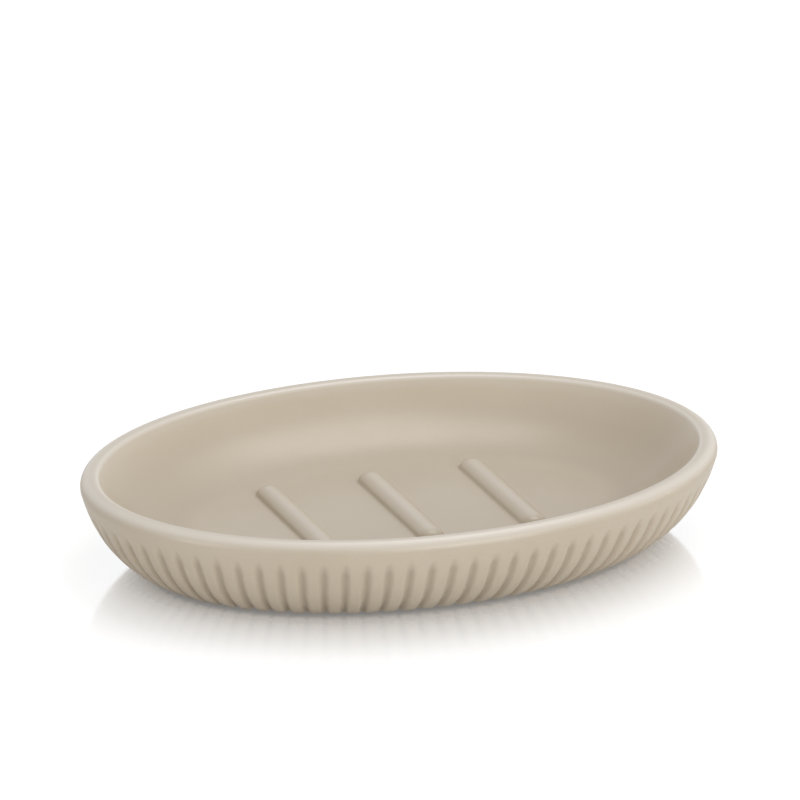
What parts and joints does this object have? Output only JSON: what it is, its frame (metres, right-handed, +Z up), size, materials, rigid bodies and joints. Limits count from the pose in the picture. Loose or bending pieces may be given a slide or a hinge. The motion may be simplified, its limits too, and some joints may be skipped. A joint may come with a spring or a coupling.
{
  "type": "soap dish",
  "caption": "Oval glazed ceramic soap dish with a fluted lower wall, a plain rounded rim and raised drainage ridges on its floor, standing on soft stick-on feet.",
  "frame": {"origin": "on the table under the middle of the dish, level with the undersides of the bumper feet", "axes": "+X along the dish's length, +Y across it, +Z up out of the bowl"},
  "size_m": [0.1442, 0.1046, 0.0219],
  "materials": {
    "glaze": "satin matt greige glaze",
    "bumper": "soft, slightly cloudy grey elastomer",
    "adhesive": "thin pale pressure-sensitive film"
  },
  "bodies": {
    "root": {"dish_body": "glaze", "bumper_foot_front_left": "bumper", "bumper_foot_front_right": "bumper", "bumper_foot_rear_left": "bumper", "bumper_foot_rear_right": "bumper", "adhesive_disc_front_left": "adhesive", "adhesive_disc_front_right": "adhesive", "adhesive_disc_rear_left": "adhesive", "adhesive_disc_rear_right": "adhesive"}
  },
  "joints": []
}
